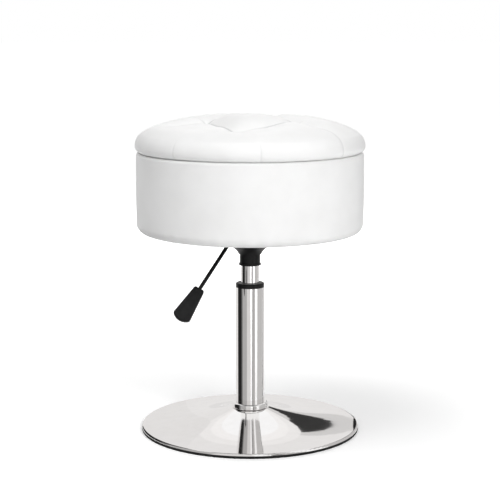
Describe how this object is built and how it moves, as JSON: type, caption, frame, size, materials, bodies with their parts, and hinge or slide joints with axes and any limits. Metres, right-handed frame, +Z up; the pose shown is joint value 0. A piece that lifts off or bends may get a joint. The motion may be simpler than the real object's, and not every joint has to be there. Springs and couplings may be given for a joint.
{
  "type": "swivel vanity stool",
  "caption": "Round white leatherette storage stool with a tufted lift-off lid, gas-lift swivel column, release lever and chrome trumpet base.",
  "frame": {"origin": "on the floor, under the centre of the column", "axes": "+Z up along the column; -Y is the side that the picture shows; the lever points to -X and -Y"},
  "size_m": [0.3988, 0.3988, 0.5579],
  "materials": {
    "chrome": "polished chrome plate",
    "steel": "zinc plated, satin",
    "bearing_steel": "ground and hardened, bright",
    "black_metal": "black powder coat",
    "black_plastic": "black moulded, fine satin",
    "black_rubber": "matt",
    "plywood": "raw birch plywood",
    "foam": "open-cell upholstery foam",
    "white_leatherette": "fine-grained, semi-matt",
    "quilted_leatherette": "fine-grained, semi-matt, sewn to its wadding",
    "lining_cloth": "woven",
    "black_cloth": "non-woven"
  },
  "bodies": {
    "base": {"floor_ring": "black_rubber", "base_dish": "chrome", "hub_socket": "steel", "collar_ring": "chrome", "column_tube": "chrome", "guide_bush": "black_plastic", "column_plug": "steel", "lower_race": "bearing_steel", "bearing_balls": "bearing_steel"},
    "piston": {"piston_rod": "bearing_steel", "rod_clip": "bearing_steel", "upper_race": "bearing_steel", "bump_stop": "black_rubber", "piston_head": "steel", "piston_seal": "black_rubber"},
    "seat": {"gas_cylinder": "chrome", "rod_gland": "black_plastic", "taper_socket": "black_metal", "neck_sleeve": "black_plastic", "bell_cover": "black_plastic", "seat_plate": "black_metal", "lever_bracket": "black_metal", "lever_pin": "steel", "plate_bolts": "steel", "plate_washers": "steel", "tee_nuts": "steel", "dust_cover": "black_cloth", "drum_bottom": "plywood", "drum_wall": "plywood", "side_padding": "foam", "drum_cover": "white_leatherette", "drum_lining": "lining_cloth"},
    "lever": {"lever_rod": "black_metal", "lever_handle": "black_plastic"},
    "valve": {"valve_pin": "bearing_steel"},
    "lid": {"lid_cover": "quilted_leatherette", "lid_foam": "foam", "lid_board": "plywood", "lid_locator": "plywood", "lid_screws": "steel"}
  },
  "joints": [
    {"name": "seat_swivel", "type": "hinge", "parent": "base", "child": "piston", "pos_m": [0, 0, 0.015], "axis": [0, 0, 1], "continuous": true},
    {"name": "height_lift", "type": "slide", "parent": "piston", "child": "seat", "axis": [0, 0, 1], "range_m": [-0.02, 0.09]},
    {"name": "lever_pivot", "type": "hinge", "parent": "seat", "child": "lever", "pos_m": [-0.01556, -0.01556, 0.342], "axis": [-0.7071, 0.7071, 0], "range_deg": [0, 7], "stiffness_Nm_per_rad": 2, "springref_deg": -5.73},
    {"name": "valve_press", "type": "slide", "parent": "seat", "child": "valve", "axis": [0, 0, -1], "range_m": [0, 0.0035]},
    {"name": "lid_lift", "type": "slide", "parent": "seat", "child": "lid", "axis": [0, 0, 1], "range_m": [0, 0.25]}
  ],
  "couplings": [
    {"joint": "valve_press", "follows": "lever_pivot", "m_per_rad": 0.0265}
  ]
}
